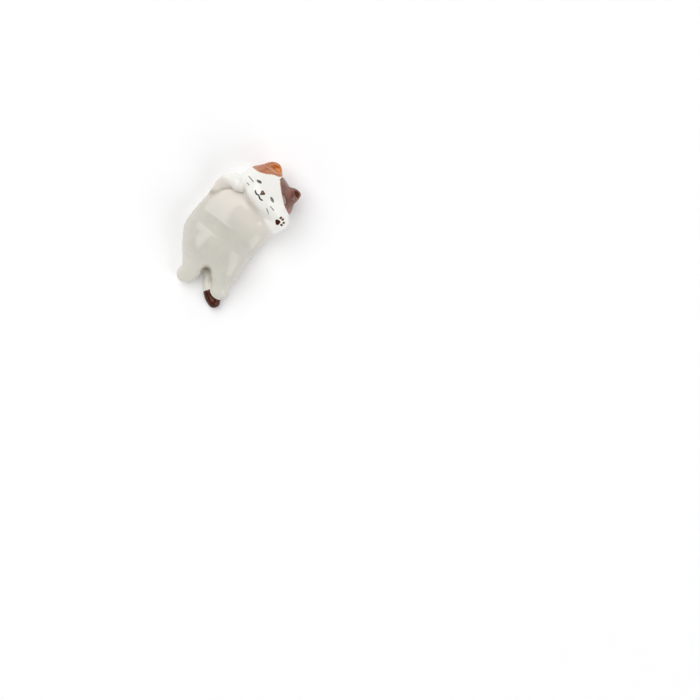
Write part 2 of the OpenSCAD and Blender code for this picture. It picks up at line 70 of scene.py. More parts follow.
ear = {"height": 10.4, "thick": 6.4, "path": ((0, 0, 0), (0.4, 0.53, 0.34), (1, 0.97, 1))}
cup = {"share": 0.86, "round": 0.5, "height": 0.27, "bulge": 0.1}
arch = {"at": (4.4, -16.6), "radius": 1.75, "foot": 2.7, "round": 1}      # the crotch, over the tail's root
pool = {"at": (3.9, -15.5), "radius": 2.6}      # glaze gathers there, and shade is painted there

# Each limb: its root in shares of the torso, its reach, the heights and radii at both ends, and its path
limbs = {
    "right_foreleg": {
        "root": (-0.77, 0.39), "reach": 8.5, "heights": (5.2, 10.8), "radii": (2.4, 2.75),
        "path": ((0, 0, 0, 0), (-0.12, 0.44, 0.15, 0), (-0.07, 0.76, 0.45, 0), (0.15, 0.99, 0.8, 0.5),
                 (0.36, 1.02, 1, 1))},
    "left_foreleg": {
        "root": (0.63, 0.34), "reach": 8.7, "heights": (5.2, 10.4), "radii": (3.52, 3.52), "thin": 0.82,
        "path": ((0, 0, 0, 0), (0.23, 0.46, 0.3, 0), (0.39, 0.78, 0.7, 0), (0.49, 1, 1, 0))},
    "right_hind_leg": {
        "root": (-0.21, -0.8), "reach": 10, "heights": (5.9, 3.2), "radii": (5.7, 3.1),
        "path": ((0, 0, 0, 0), (0.22, -0.6, 0.5, 0.7), (0.18, -0.97, 1, 1))},
    "left_hind_leg": {
        "root": (0.674, -0.793), "reach": 7.4, "heights": (5.9, 3.2), "radii": (4.7, 3.1),
        "path": ((0, 0, 0, 0), (0.19, -0.43, 0.5, 0.9), (0.44, -0.865, 1, 1))},
    "tail": {
        "root": (0.33, -0.946), "reach": 8.9, "heights": (1.4, 1.95), "radii": (1.6, 2.15),
        "path": ((0, 0, 0, 0), (0.05, -0.22, 0, 0), (0.2, -0.4, 0.1, 0.05), (0.33, -0.58, 0.2, 0.15),
                 (0.54, -0.76, 0.5, 0.45), (0.78, -0.91, 0.8, 0.8), (1, -0.97, 1, 1))},
}

# How softly two clay pieces run into each other once they are luted and glazed
blends = {("torso", "head"): 4.8, ("torso", "right_hind_leg"): 3.3, ("torso", "left_hind_leg"): 3.4,
          ("torso", "right_foreleg"): 1.7, ("torso", "left_foreleg"): 2.8, ("torso", "muzzle"): 2.4,
          ("head", "muzzle"): 3, ("head", "right_ear"): 1.4, ("head", "left_ear"): 1,
          ("head", "right_foreleg"): 2.2, ("head", "left_foreleg"): 1.6,
          ("right_hind_leg", "left_hind_leg"): 1.2}
# How much glaze gathers in the crease between two pieces, and how much shade is painted into it
creasePoolAndShade = {("torso", "right_foreleg"): 1, ("torso", "muzzle"): 0.3, ("torso", "head"): 0.35}
blending = {"power": 4, "tail": 1.5}
skin = {"step": 0.25, "margin": 1.2, "reach": 4, "footRound": 0.7, "spans": 9, "relax": 4, "far": 30,
        "rounds": 3, "lute": 0.5, "cut": (0.02, 0.98)}
tiny = {"slope": 1e-3, "square": 1e-6, "length": 1e-9}      # these keep a division from failing


def dome(share, power):
    return np.maximum(0, 1 - np.abs(share) ** power) ** (1 / power)


mountPlaces = {mount["name"]: mount["pos_m"] for mount in frame["record"]["mounts"]}
saddlePlace = mountPlaces["chopstick_saddle"]
catX = saddlePlace[0] / millimetre      # where the frame has the torso's middle
catY = saddlePlace[1] / millimetre - torso["saddleY"]
headX, headY = head["x"], torso["neck"] + head["out"]


def turned(x, y, degrees):
    # where x, y lies once it turns clockwise
    turn = math.radians(degrees)
    return math.cos(turn) * x + math.sin(turn) * y, math.cos(turn) * y - math.sin(turn) * x


def toHead(x, y):
    return turned(x - headX, y - headY, -head["turn"])


def fromHead(u, v):
    x, y = turned(u, v, head["turn"])
    return headX + x, headY + y


def headShare(share):
    return share[0] * head["width"] / 2, share[1] * head["crown"]


def alongPath(points, spans):
    # a smooth line through the points, each stretch of it in so many spans
    points = np.array(points, float)
    line = []
    for i in range(len(points) - 1):
        a, b, c, d = (points[k] for k in (max(i - 1, 0), i, i + 1, min(i + 2, len(points) - 1)))
        for f in np.arange(spans) / spans:
            line.append((2 * b + (c - a) * f + (2 * a - 5 * b + 4 * c - d) * f ** 2
                         + (3 * b - a - 3 * c + d) * f ** 3) / 2)
    return np.array(line + [points[-1]])


def torsoField(x, y, z):
    s = y / np.where(y < 0, torso["rump"], torso["neck"])
    bend = np.minimum(np.abs(s), torso["bendEnd"]) ** torso["bendPower"]
    bend = np.where(s < 0, torso["rumpBend"], torso["neckBend"]) * bend
    taper = 1 - torso["neckTaper"] * np.clip(s, 0, 1) ** 2
    across = np.abs(x - bend) / (torso["width"] / 2 * taper)
    crest = np.where(y < torso["saddleY"], torso["tummy"], torso["chest"]) - torso["flank"]
    slope = np.minimum(1, np.abs(y - torso["saddleY"]) / torso["saddleSlope"])
    rise = np.sin(slope * math.pi / 2) ** torso["saddlePower"]
    sagging = crest * np.maximum(dome(s, torso["sidePower"]), tiny["slope"])
    floor = (torso["saddle"] - torso["flank"]) / sagging
    up = (z - torso["flank"]) / (crest * np.minimum(1, rise + floor * (1 - rise)))
    down = (torso["flank"] - z) / (torso["flank"] + torso["ground"])
    upright = np.where(z > torso["flank"], up, down)
    wide, tall = across ** torso["section"], upright ** torso["section"]
    sharper = torso["planPower"] - torso["sidePower"]
    power = torso["sidePower"] + sharper * wide / (wide + tall + tiny["length"])
    return ((wide + tall) ** (power / torso["section"]) + np.abs(s) ** power) ** (1 / power) - 1


def headField(x, y, z):
    u, v = toHead(x, y)
    along = np.where(v > 0, v / head["crown"], -v / head["chin"])
    upright = np.where(z > head["cheek"], (z - head["cheek"]) / (head["face"] - head["cheek"]),
                       (head["cheek"] - z) / (head["cheek"] + head["ground"]))
    section, power = head["section"], head["power"]
    ring = (np.abs(u / head["width"] * 2) ** section + upright ** section) ** (1 / section)
    return (ring ** power + along ** power) ** (1 / power) - 1


def muzzleField(x, y, z):
    u, v = toHead(x, y)
    atU, atV = headShare(muzzle["at"])
    middle = head["face"] + muzzle["rise"] - muzzle["thick"] / 2
    power = muzzle["power"]
    shares = (u - atU) / muzzle["width"], (v - atV) / muzzle["length"], (z - middle) / muzzle["thick"]
    return sum(np.abs(share * 2) ** power for share in shares) ** (1 / power) - 1


def dot(offset, way):
    return sum(value * part for value, part in zip(offset, way))


def tubeField(x, y, z, line, thin):
    best = np.full(x.shape, float(skin["far"]), np.float32)
    for a, b in zip(line[:-1], line[1:]):
        run = b[:3] - a[:3]
        length = np.linalg.norm(run)
        run = run / length
        side = np.cross(run, (0, 0, 1))
        side = side / np.linalg.norm(side)
        lift = np.cross(side, run)
        offset = [value - start for value, start in zip((x, y, z), a)]
        t = np.clip(dot(offset, run) / length, 0, 1)
        offset = [value - way * length * t for value, way in zip(offset, run)]
        shares = dot(offset, side), dot(offset, lift) / thin, dot(offset, run)
        far = np.sqrt(sum(share ** 2 for share in shares))
        best = np.minimum(best, far - a[3] - (b[3] - a[3]) * t)
    return best


def limbLine(limb):
    rootX = limb["root"][0] * torso["width"] / 2
    rootY = limb["root"][1] * (torso["neck"] if limb["root"][1] > 0 else torso["rump"])
    (low, high), (first, last) = limb["heights"], limb["radii"]
    return alongPath([(rootX + p[0] * limb["reach"], rootY + p[1] * limb["reach"], low + (high - low) * p[2],
                       first + (last - first) * p[3]) for p in limb["path"]], skin["spans"])


def earLine(look):
    (rootU, rootV), (first, last), line = headShare(look["root"]), look["radii"], []
    for out, along, taper in ear["path"]:
        u = look["side"] * (rootU + look["lean"] * out * look["length"])
        x, y = fromHead(u, rootV + along * look["length"])
        line.append((x, y, ear["height"], first + (last - first) * taper))
    return alongPath(line, skin["spans"])


tubes = {name: (limbLine(limb), limb.get("thin", 1)) for name, limb in limbs.items()}
for name, look in ears.items():
    tubes[name] = (earLine(look), ear["thick"] / look["radii"][0] / 2)
forms = ["torso", "head", "muzzle"] + list(tubes)

low, high = (np.array(corner) / millimetre - (catX, catY, 0) for corner in cadBox)
low, high = low - skin["margin"], high + skin["margin"]
axes = [np.arange(low[k], high[k] + skin["step"], skin["step"], dtype=np.float32) for k in range(3)]
gridX, gridY, gridZ = np.meshgrid(*axes, indexing="ij")
low = np.array([axis[0] for axis in axes])


def evened(field):
    slopes = np.gradient(field, skin["step"])
    return field / np.maximum(np.sqrt(sum(slope ** 2 for slope in slopes)), tiny["slope"])


fields = {"torso": evened(torsoField(gridX, gridY, gridZ)), "head": evened(headField(gridX, gridY, gridZ)),
          "muzzle": evened(muzzleField(gridX, gridY, gridZ))}
for name, (line, thin) in tubes.items():
    reach = line[:, 3].max() + skin["reach"]
    cells = [slice(*np.searchsorted(axis, (line[:, k].min() - reach, line[:, k].max() + reach)))
             for k, axis in enumerate(axes)]
    field = np.full(gridX.shape, float(skin["far"]), np.float32)
    block = tuple(cells)
    field[block] = evened(tubeField(gridX[block], gridY[block], gridZ[block], line, thin))
    fields[name] = field
print("fields of", len(fields), "clay pieces on a grid of", gridX.shape)


def softly(gap, width):
    # how much two surfaces that meet are rounded, by how far one lies beyond the other
    return width / 4 * np.maximum(0, 1 - np.abs(gap) / width) ** 2


def carved(solid, hollow, width):
    return np.maximum(solid, -hollow) + softly(solid + hollow, width)


def cupPlace(look, x, y):
    # a place seen from the middle of an ear's cup, along the cup and across it
    u, v = toHead(x, y)
    atU, atV = headShare(look["cup"]["at"])
    return turned(u - atU, v - atV, look["cup"]["turn"])


nearest = np.minimum.reduce([field for name, field in fields.items() if name != "tail"])
fillet, shadeAndPooling = np.zeros_like(nearest), np.zeros_like(nearest)
for pair, width in blends.items():
    one, other = (fields[name] for name in pair)
    apart = np.maximum(0, 1 - np.abs(one - other) / width)
    near = np.maximum(0, 1 - (np.minimum(one, other) - nearest) / width)
    fillet += (width / 4 * apart ** 2 * near ** 2) ** blending["power"]
    shadeAndPooling = np.maximum(shadeAndPooling, creasePoolAndShade.get(pair, 0) * apart ** 2 * near ** 2)
clay = nearest - fillet ** (1 / blending["power"])
fromArch = np.hypot(gridX - arch["at"][0], gridY - arch["at"][1])
clay = carved(clay, np.maximum(fromArch - arch["radius"], arch["foot"] - gridZ), arch["round"])
# painted shade at the crotch, where glaze also gathers
fromPoolAndShade = np.hypot(gridX - pool["at"][0], gridY - pool["at"][1])
shadeAndPooling = np.maximum(shadeAndPooling, np.clip(1 - fromPoolAndShade / pool["radius"], 0, 1))
clay = np.minimum(clay, fields["tail"]) - softly(clay - fields["tail"], blending["tail"])
for look in ears.values():       # the hollow of each ear
    along, across = cupPlace(look, gridX, gridY)
    size = [value * cup["share"] / 2 for value in look["cup"]["size"]]
    upright = (gridZ - ear["height"] - ear["thick"] * cup["height"]) / (look["cup"]["deep"] * 2)
    hollow = evened(np.sqrt((along / size[0]) ** 2 + (across / size[1]) ** 2 + upright ** 2) - 1)
    clay = carved(clay, hollow, cup["round"])
clay = carved(clay, gridZ, skin["footRound"])
clayAndSlopes = np.stack([clay, *np.gradient(clay, skin["step"])], -1).astype(np.float32)


def sampled(grid, points):
    cell = (points - low) / skin["step"]
    base = np.clip(np.floor(cell).astype(int), 0, np.array(grid.shape[:3]) - 2)
    part = np.clip(cell - base, 0, 1)
    total = 0
    for corner in np.ndindex(2, 2, 2):
        weight = np.prod(np.where(corner, part, 1 - part), 1)
        value = grid[tuple((base + corner).T)]
        total = total + (weight if value.ndim == 1 else weight[:, None]) * value
    return total


def settled(points, rounds=skin["rounds"]):
    for _ in range(rounds):
        value = sampled(clayAndSlopes, points)
        square = (value[:, 1:] ** 2).sum(1, keepdims=True)
        points = points - value[:, :1] * value[:, 1:] / np.maximum(square, tiny["square"])
    return points


def normalsAt(points):
    slopes = sampled(clayAndSlopes, points)[:, 1:]
    return slopes / np.maximum(np.linalg.norm(slopes, axis=1, keepdims=True), tiny["length"])


def columns(*values):
    return np.stack(values, 1)


def window(start, shape):
    return tuple(slice(first, first + count) for first, count in zip(start, shape))


def surfaceNet(field):
    # one point in each cell that the surface crosses, and a quad around each edge that it cuts
    shape = np.array(field.shape) - 1
    ways = np.eye(3, dtype=int)
    total, count = np.zeros((*shape, 3), np.float32), np.zeros(shape, np.float32)
    for axis in range(3):
        for shift in np.ndindex(2, 2):
            start = np.insert(shift, axis, 0)
            a, b = (field[window(at, shape)] for at in (start, start + ways[axis]))
            crossed = (a < 0) != (b < 0)
            count += crossed
            total[..., axis] += np.where(crossed, a / np.where(crossed, a - b, 1), 0)
            for k in range(3):
                total[..., k] += crossed * start[k]
    active = count > 0
    number = np.full(shape, -1)
    number[active] = np.arange(active.sum())
    spots = np.argwhere(active) + total[active] / count[active][:, None]
    quads = []
    for axis in range(3):
        along, b, c = np.roll(ways, -axis, 0)
        here, there = (field[window(at, shape - 1 + along)] < 0 for at in (1 - along, np.ones(3, int)))
        for crossing, order in ((here & ~there, 1), (there & ~here, -1)):
            cell = np.argwhere(crossing)
            ring = [number[tuple((cell + step).T)] for step in (0 * b, b, b + c, c)]
            quads.append(columns(*ring[::order]))
    return low + spots * skin["step"], np.concatenate(quads)


def relaxed(points, quads):
    for _ in range(skin["relax"]):
        total = np.zeros_like(points)
        count = np.zeros(len(points))
        for k in range(4):
            np.add.at(total, quads[:, k], points[quads[:, (k + 1) % 4]] + points[quads[:, k - 1]])
            np.add.at(count, quads[:, k], 2)
        middle = total / count[:, None]
        normal = normalsAt(points)
        move = (middle - points) / 2
        points = settled(points + move - normal * (move * normal).sum(1, keepdims=True), 1)
    return settled(points)


bodyPoints, bodyQuads = surfaceNet(clay)
bodyPoints = relaxed(settled(bodyPoints), bodyQuads)
bodyTriangles = np.concatenate([bodyQuads[:, (0, 1, 2)], bodyQuads[:, (0, 2, 3)]])
atSkin = {form: sampled(fields[form], bodyPoints) for form in forms}      # how far each form is from the skin
print("skin of", len(bodyPoints), "points and", len(bodyTriangles), "triangles")


def sides(triangles):
    return np.concatenate([triangles[:, (0, 1)], triangles[:, (1, 2)], triangles[:, (2, 0)]])


def cutAlong(points, triangles, labels, gap):
    # cuts the triangles where the label changes; gap gives both labels' values at two ends of an edge
    edges = np.sort(sides(triangles), 1)
    edges = np.unique(edges[labels[edges[:, 0]] != labels[edges[:, 1]]], axis=0)
    one, other = gap(edges)
    t = np.clip(one / np.where(one == other, 1, one - other), *skin["cut"])[:, None]
    points = np.concatenate([points, points[edges[:, 0]] * (1 - t) + points[edges[:, 1]] * t])
    number = {tuple(edge): k for k, edge in enumerate(edges.tolist(), len(points) - len(edges))}
    corner = labels[triangles]
    kinds = (corner != np.roll(corner, -1, 1)).sum(1)
    extraPoints, extra, extraOwners = [], [], []
    for triangle in triangles[kinds > 0].tolist():
        named = [labels[k] for k in triangle]
        if len(set(named)) == 2:
            odd = next(k for k in range(3) if named[k] != named[k - 1] and named[k] != named[(k + 1) % 3])
            a, b, c = (triangle[(odd + k) % 3] for k in range(3))
            ab, ac = number[(min(a, b), max(a, b))], number[(min(a, c), max(a, c))]
            extra += [(a, ab, ac), (ab, b, c), (ab, c, ac)]
            extraOwners += [labels[a], labels[b], labels[b]]
        else:
            a, b, c = triangle
            ab, bc, ca = (number[(min(p, q), max(p, q))] for p, q in ((a, b), (b, c), (c, a)))
            middle = len(points) + len(extraPoints)
            extraPoints.append((points[ab] + points[bc] + points[ca]) / 3)
            extra += [(a, ab, middle), (a, middle, ca), (b, bc, middle), (b, middle, ab),
                      (c, ca, middle), (c, middle, bc)]
            extraOwners += [labels[a]] * 2 + [labels[b]] * 2 + [labels[c]] * 2
    points = np.concatenate([points, np.reshape(extraPoints, (-1, points.shape[1]))])
    whole = kinds == 0
    return (points, np.concatenate([triangles[whole], extra]),
            np.concatenate([corner[whole, 0], extraOwners]))


def compact(triangles):
    used, flat = np.unique(triangles, return_inverse=True)
    return used, flat.reshape(triangles.shape)


def rims(triangles):
    # the open edges as closed rings, each in the direction of its own triangles
    follow = {}
    edges = sides(triangles).tolist()
    known = {(a, b) for a, b in edges}
    for a, b in edges:
        if (b, a) not in known:
            follow.setdefault(a, []).append(b)
    rings = []
    while follow:
        start = next(iter(follow))
        ring, at = [start], follow[start].pop()
        if not follow[start]:
            del follow[start]
        while at != start:
            ring.append(at)
            step = follow[at].pop()
            if not follow[at]:
                del follow[at]
            at = step
        rings.append(np.array(ring))
    return rings


def placed(name, data):
    thing = bpy.data.objects.new(name, data)
    bpy.context.scene.collection.objects.link(thing)
    return thing


def inFrame(points):
    return ((points + (catX, catY, 0)) * millimetre).tolist()


def newPiece(name, points, triangles, normals, material, values):
    mesh = bpy.data.meshes.new(name)
    mesh.from_pydata(inFrame(points), [], triangles.tolist())
    for label, value in values.items():
        mesh.attributes.new(label, "FLOAT", "POINT").data.foreach_set("value", value.astype(np.float32))
    mesh.shade_smooth()
    mesh.normals_split_custom_set_from_vertices(normals.tolist())
    mesh.materials.append(material)
    return placed(name, mesh)


def dress(piece, slot, *nodes):
    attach(piece, "root")
    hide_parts(*nodes)
    print("made", piece.name, "with", len(piece.data.polygons), "faces")


class Wire:
    def __init__(self, tree, socket):
        self.tree, self.socket = tree, socket

    def maths(self, operation, *terms):
        return self.tree.node("ShaderNodeMath", dict(enumerate(terms)), operation=operation)

    def __add__(self, other):
        return self.maths("ADD", self, other)

    def __sub__(self, other):
        return self.maths("SUBTRACT", self, other)

    def __rsub__(self, other):
        return self.maths("SUBTRACT", other, self)

    def __mul__(self, other):
        return self.maths("MULTIPLY", self, other)

    __radd__, __rmul__ = __add__, __mul__


class NodeTree:
    def __init__(self, tree):
        self.tree = tree

    def node(self, kind, values=None, out=0, **settings):
        node = self.tree.nodes.new(kind)
        for key, value in settings.items():
            setattr(node, key, value)
        for key, value in (values or {}).items():
            self.set(node.inputs[key], value)
        return Wire(self, node.outputs[out])

    def set(self, entry, value):
        if isinstance(value, Wire):
            self.tree.links.new(value.socket, entry)
        elif entry.type == "RGBA":
            entry.default_value = (*value, 1)
        else:
            entry.default_value = value

    def span(self, value, start, end, low=0, high=1):
        values = {"Value": value, "From Min": start, "From Max": end, "To Min": low, "To Max": high}
        return self.node("ShaderNodeMapRange", values, interpolation_type="SMOOTHSTEP")


bumpLook = {"Strength": 0.4, "Distance": 0.0001}


class Finish(NodeTree):
    def __init__(self, name):
        self.material = bpy.data.materials.new(name)
        self.material.use_nodes = True
        super().__init__(self.material.node_tree)
        self.shader = self.tree.nodes["Principled BSDF"]
        self.place = self.node("ShaderNodeTexCoord", out="Object")

    def noise(self, scale, detail=2, stretch=(1, 1, 1), turn=0, rough=0.5):
        around = (0, 0, math.radians(turn))
        place = self.node("ShaderNodeMapping", {"Rotation": around, "Vector": self.place})
        place = self.node("ShaderNodeMapping", {"Scale": stretch, "Vector": place})
        return self.node("ShaderNodeTexNoise",
                         {"Vector": place, "Scale": scale, "Detail": detail, "Roughness": rough})

    def along(self, axis):
        return self.node("ShaderNodeSeparateXYZ", {"Vector": self.place}, out=axis)

    def attribute(self, name):
        return self.node("ShaderNodeAttribute", out="Fac", attribute_name=name)

    def blend(self, share, one, other):
        # the colour sockets go by number, because those of other kinds share their names
        return self.node("ShaderNodeMix", {0: share, 6: one, 7: other}, 2, data_type="RGBA")

    def bump(self, height):
        return self.node("ShaderNodeBump", {"Height": height, **bumpLook})

    def shade(self, **values):
        for key, value in values.items():
            self.set(self.shader.inputs[key.replace("_", " ")], value)
        return self.material


# The white glaze, with places in metres: y along the cat, and z over the table where the glaze ends; its
# darker chest, rump and legs are painted shade
glazeLook = {
    "head": (0.9, 0.89, 0.845),
    "chest": {"colour": (0.75, 0.70, 0.635), "span": (0.013, 0.0095), "lean": 0.45},
    "rump": {"colour": (0.615, 0.602, 0.537), "span": (0.007, -0.003)},
    "legs": {"colour": (0.70, 0.68, 0.605), "span": (-0.013, -0.021)},
    "wander": {"scale": 90, "size": 0.004},
    "cloud": {"colour": (0.71, 0.655, 0.58), "scale": 150, "span": (0.4, 0.75), "below": (0.013, 0.006),
              "share": 0.5},
    "pool": {"colour": (0.40, 0.35, 0.27), "least": 0.1, "share": 0.75},
    "stain": {"colour": (0.34, 0.15, 0.08), "width": 0.0003, "share": 0.55},
    "foot": {"edge": 0.00055, "blur": 0.00006, "scale": 400, "size": 0.0003},
    "biscuit": {"colour": (0.66, 0.60, 0.50), "shade": 0.9, "scale": 4200, "bump": 0.4, "rough": 0.7},
    "gloss": {"least": 0.085, "scale": 900, "size": 0.04},
    "waves": {"scale": 230, "rippleScale": 1400, "ripple": 0.05}}


def wandering(finish, axis, look):
    # a place along an axis, for a border that wanders
    return finish.along(axis) + finish.noise(look["scale"]) * look["size"] - look["size"] / 2


def whiteGlaze():
    look = glazeLook
    finish = Finish("whiteGlaze")
    along, across = wandering(finish, "Y", look["wander"]), finish.along("X")
    # The head is the lightest. The chest, rump and legs are darker as painted shade of the chin, the curled
    # paw and the chopsticks. The chest stays lighter on the open paw's side and darker under the curled paw,
    # as painted light and shade.
    slanted = along + across.maths("MAXIMUM", across, 0) * look["chest"]["lean"]
    colour = look["head"]
    for part, place in (("chest", slanted), ("rump", along), ("legs", along)):
        colour = finish.blend(finish.span(place, *look[part]["span"]), colour, look[part]["colour"])
    cloud, pool, stain, foot, biscuit = (look[key] for key in ("cloud", "pool", "stain", "foot", "biscuit"))
    cloudy = finish.span(finish.noise(cloud["scale"], detail=3), *cloud["span"])
    cloudy = cloudy * finish.span(along, *cloud["below"])
    colour = finish.blend(cloudy * cloud["share"], colour, cloud["colour"])
    # the creases and the crotch are darkened: painted shade, with glaze gathered there
    shadedAndPooled = finish.span(finish.attribute("pool"), pool["least"], 1)
    colour = finish.blend(shadedAndPooled * pool["share"], colour, pool["colour"])
    height, edge = wandering(finish, "Z", foot), foot["edge"]
    stained = finish.span(height, edge + stain["width"], edge, 0, stain["share"])
    colour = finish.blend(stained, colour, stain["colour"])     # rust brown where the glaze thins out
    bare = finish.span(height, edge - foot["blur"], edge + foot["blur"], 1, 0)
    grit = finish.noise(biscuit["scale"], detail=3)
    shaded = [biscuit["shade"] * value for value in biscuit["colour"]]
    colour = finish.blend(bare, colour, finish.blend(grit, biscuit["colour"], shaded))
    gloss, waves = look["gloss"], look["waves"]
    rough = gloss["least"] + bare * biscuit["rough"] + finish.noise(gloss["scale"], detail=1) * gloss["size"]
    swell = finish.noise(waves["scale"], detail=1) * (1 - bare)
    swell = swell + finish.noise(waves["rippleScale"]) * waves["ripple"] + grit * bare * biscuit["bump"]
    return finish.shade(Base_Color=colour, Roughness=rough, Normal=finish.bump(swell))


def withoutIslands(labels):
    # each form keeps its largest patch of the skin, and what lies apart goes to the form around it
    edges = sides(bodyTriangles)
    one, other = edges[labels[edges[:, 0]] == labels[edges[:, 1]]].T
    group = np.arange(len(labels))
    while (group[one] != group[other]).any():
        lower = np.minimum(group[one], group[other])
        np.minimum.at(group, group[one], lower)
        np.minimum.at(group, group[other], lower)
        group = group[group]
    sizes = np.bincount(group, minlength=len(labels))
    mains = [max(np.flatnonzero((group == np.arange(len(labels))) & (labels == k)), key=lambda g: sizes[g])
             for k in range(len(forms))]
    apart = ~np.isin(group, mains)
    while apart.any():
        ends = np.concatenate([edges, edges[:, ::-1]])
        ends = ends[apart[ends[:, 0]] & ~apart[ends[:, 1]]]
        labels[ends[:, 0]] = labels[ends[:, 1]]
        apart[ends[:, 0]] = False
    return labels


def bodyPieces():
    values = columns(*atSkin.values())
    labels = withoutIslands(values.argmin(1))

    def gap(edges):
        one, other = labels[edges[:, 0]], labels[edges[:, 1]]
        return [values[end, one] - values[end, other] for end in edges.T]

    points, triangles, owners = cutAlong(bodyPoints, bodyTriangles, labels, gap)
    normals = normalsAt(points)
    shadedAndPooled = sampled(shadeAndPooling, points)
    material = whiteGlaze()
    for k, form in enumerate(forms):
        used, own = compact(triangles[owners == k])
        spots, facing, pool = points[used], normals[used], shadedAndPooled[used]
        closing = [own]
        for ring in rims(own):       # a clay piece is closed where it is luted to the next
            count, size = len(spots), len(ring)
            inner = np.arange(count, count + size)
            second, after = np.roll(ring, -1), np.roll(inner, -1)
            sunk = spots[ring] - facing[ring] * skin["lute"]
            middle = sunk.mean(0) - facing[ring].mean(0) * skin["lute"]
            spots = np.concatenate([spots, sunk, [middle]])
            facing = np.concatenate([facing, -facing[ring], [-facing[ring].mean(0)]])
            pool = np.append(pool, np.zeros(size + 1))
            closing += [columns(second, ring, inner), columns(second, inner, after),
                        columns(after, inner, np.full(size, count + size))]
        name = "glazed" + "".join(word.capitalize() for word in form.split("_"))
        piece = newPiece(name, spots, np.concatenate(closing), facing, material, {"pool": pool})
        dress(piece, "white_glaze", form)


bodyPieces()
coat = {"lip": 0.3, "edge": 0.015, "sunk": 0.12}      # how an enamel swells from its edge


def shell(name, points, triangles, inward, thick, base, material):
    # a closed skin of enamel, thin at its edge, that lies on the clay
    normals = normalsAt(points)
    swell = np.clip(inward / coat["lip"], 0, 1)
    lift = base + coat["edge"] + thick * swell * swell * (3 - 2 * swell)
    top, bottom = points + normals * lift[:, None], points - normals * coat["sunk"]
    count = len(points)
    faces = [triangles, triangles[:, ::-1] + count]
    for ring in rims(triangles):
        second, below = np.roll(ring, -1), ring + count
        faces += [columns(second, ring, below), columns(second, below, second + count)]
    return newPiece(name, np.concatenate([top, bottom]), np.concatenate(faces),
                    np.concatenate([normals, -normals]), material, {"inward": np.tile(inward, 2)})


def inside(points, triangles, inward):
    # the part of a surface where inward is above zero, cut cleanly at its edge
    keep = (inward > 0).astype(int)
    rich = np.concatenate([points, inward[:, None]], 1)
    rich, triangles, owners = cutAlong(rich, triangles, keep, lambda edges: [inward[end] for end in edges.T])
    used, own = compact(triangles[owners == 1])
    return rich[used, :3], own, rich[used, 3]


def onBody(region, among):
    # the triangles of the body where region is above zero, up to where the named forms end
    own = [atSkin[form] for form in among]
    rest = [atSkin[form] for form in forms if form not in among]
    inward = np.minimum(region(*bodyPoints.T), np.min(rest, 0) - np.min(own, 0))
    used, own = compact(bodyTriangles[(inward[bodyTriangles] > 0).any(1)])
    return inside(bodyPoints[used], own, inward[used])


def fromLine(u, v, line):
    best = np.full(len(u), np.inf)
    for a, b in zip(line[:-1], line[1:]):
        run = b - a
        t = np.clip(((u - a[0]) * run[0] + (v - a[1]) * run[1]) / (run @ run), 0, 1)
        best = np.minimum(best, np.hypot(u - a[0] - run[0] * t, v - a[1] - run[1] * t))
    return best


def within(u, v, line):
    odd = np.zeros(len(u), bool)
    for a, b in zip(line, np.roll(line, -1, 0)):
        across = (a[1] > v) != (b[1] > v)
        odd ^= across & (u < a[0] + (b[0] - a[0]) * (v - a[1]) / (b[1] - a[1] if b[1] != a[1] else 1))
    return odd


brush = {"wave": (2.1, 1.3), "tremor": (4.7, -3.1), "lag": 1, "tremorShare": 0.6}


def waver(u, v, size):
    # an unsteady brush
    wave = np.sin(brush["wave"][0] * u + brush["wave"][1] * v)
    tremor = np.sin(brush["tremor"][0] * u + brush["tremor"][1] * v + brush["lag"])
    return size * (wave + brush["tremorShare"] * tremor)


patches = {
    "orangePatch": {
        "node": "orange_patch", "slot": "orange_enamel", "on": ("head", "right_ear"), "corner": (-1.4, 1.6),
        "edge": ((-0.16, 1.6), (-0.17, 0.957), (-0.357, 0.753), (-0.56, 0.495), (-0.73, 0.355),
                 (-0.955, 0.27), (-1.4, 0.2))},
    "brownPatch": {
        "node": "brown_patch", "slot": "brown_enamel", "on": ("head", "left_ear"), "corner": (1.4, 1.6),
        "edge": ((1.4, 0.336), (1, 0.336), (0.857, 0.34), (0.62, 0.402), (0.344, 0.54), (0.08, 0.694),
                 (-0.06, 0.806), (-0.14, 0.925), (-0.13, 1.6))},
}
patchSize = {"thick": 0.05, "foot": 1.3, "spans": 8, "waver": 0.035, "footWaver": 0.12}


def patch(name, material):
    look = patches[name]
    line = alongPath([headShare(share) for share in look["edge"]], patchSize["spans"])
    outline = np.concatenate([line, [headShare(look["corner"])]])

    def region(x, y, z):
        u, v = toHead(x, y)
        edge = fromLine(u, v, line) * np.where(within(u, v, outline), 1, -1) + waver(u, v, patchSize["waver"])
        return np.minimum(edge, z - patchSize["foot"] + waver(x, y, patchSize["footWaver"]))

    points, triangles, inward = onBody(region, look["on"])
    dress(shell(name, points, triangles, inward, patchSize["thick"], 0, material), look["slot"], look["node"])


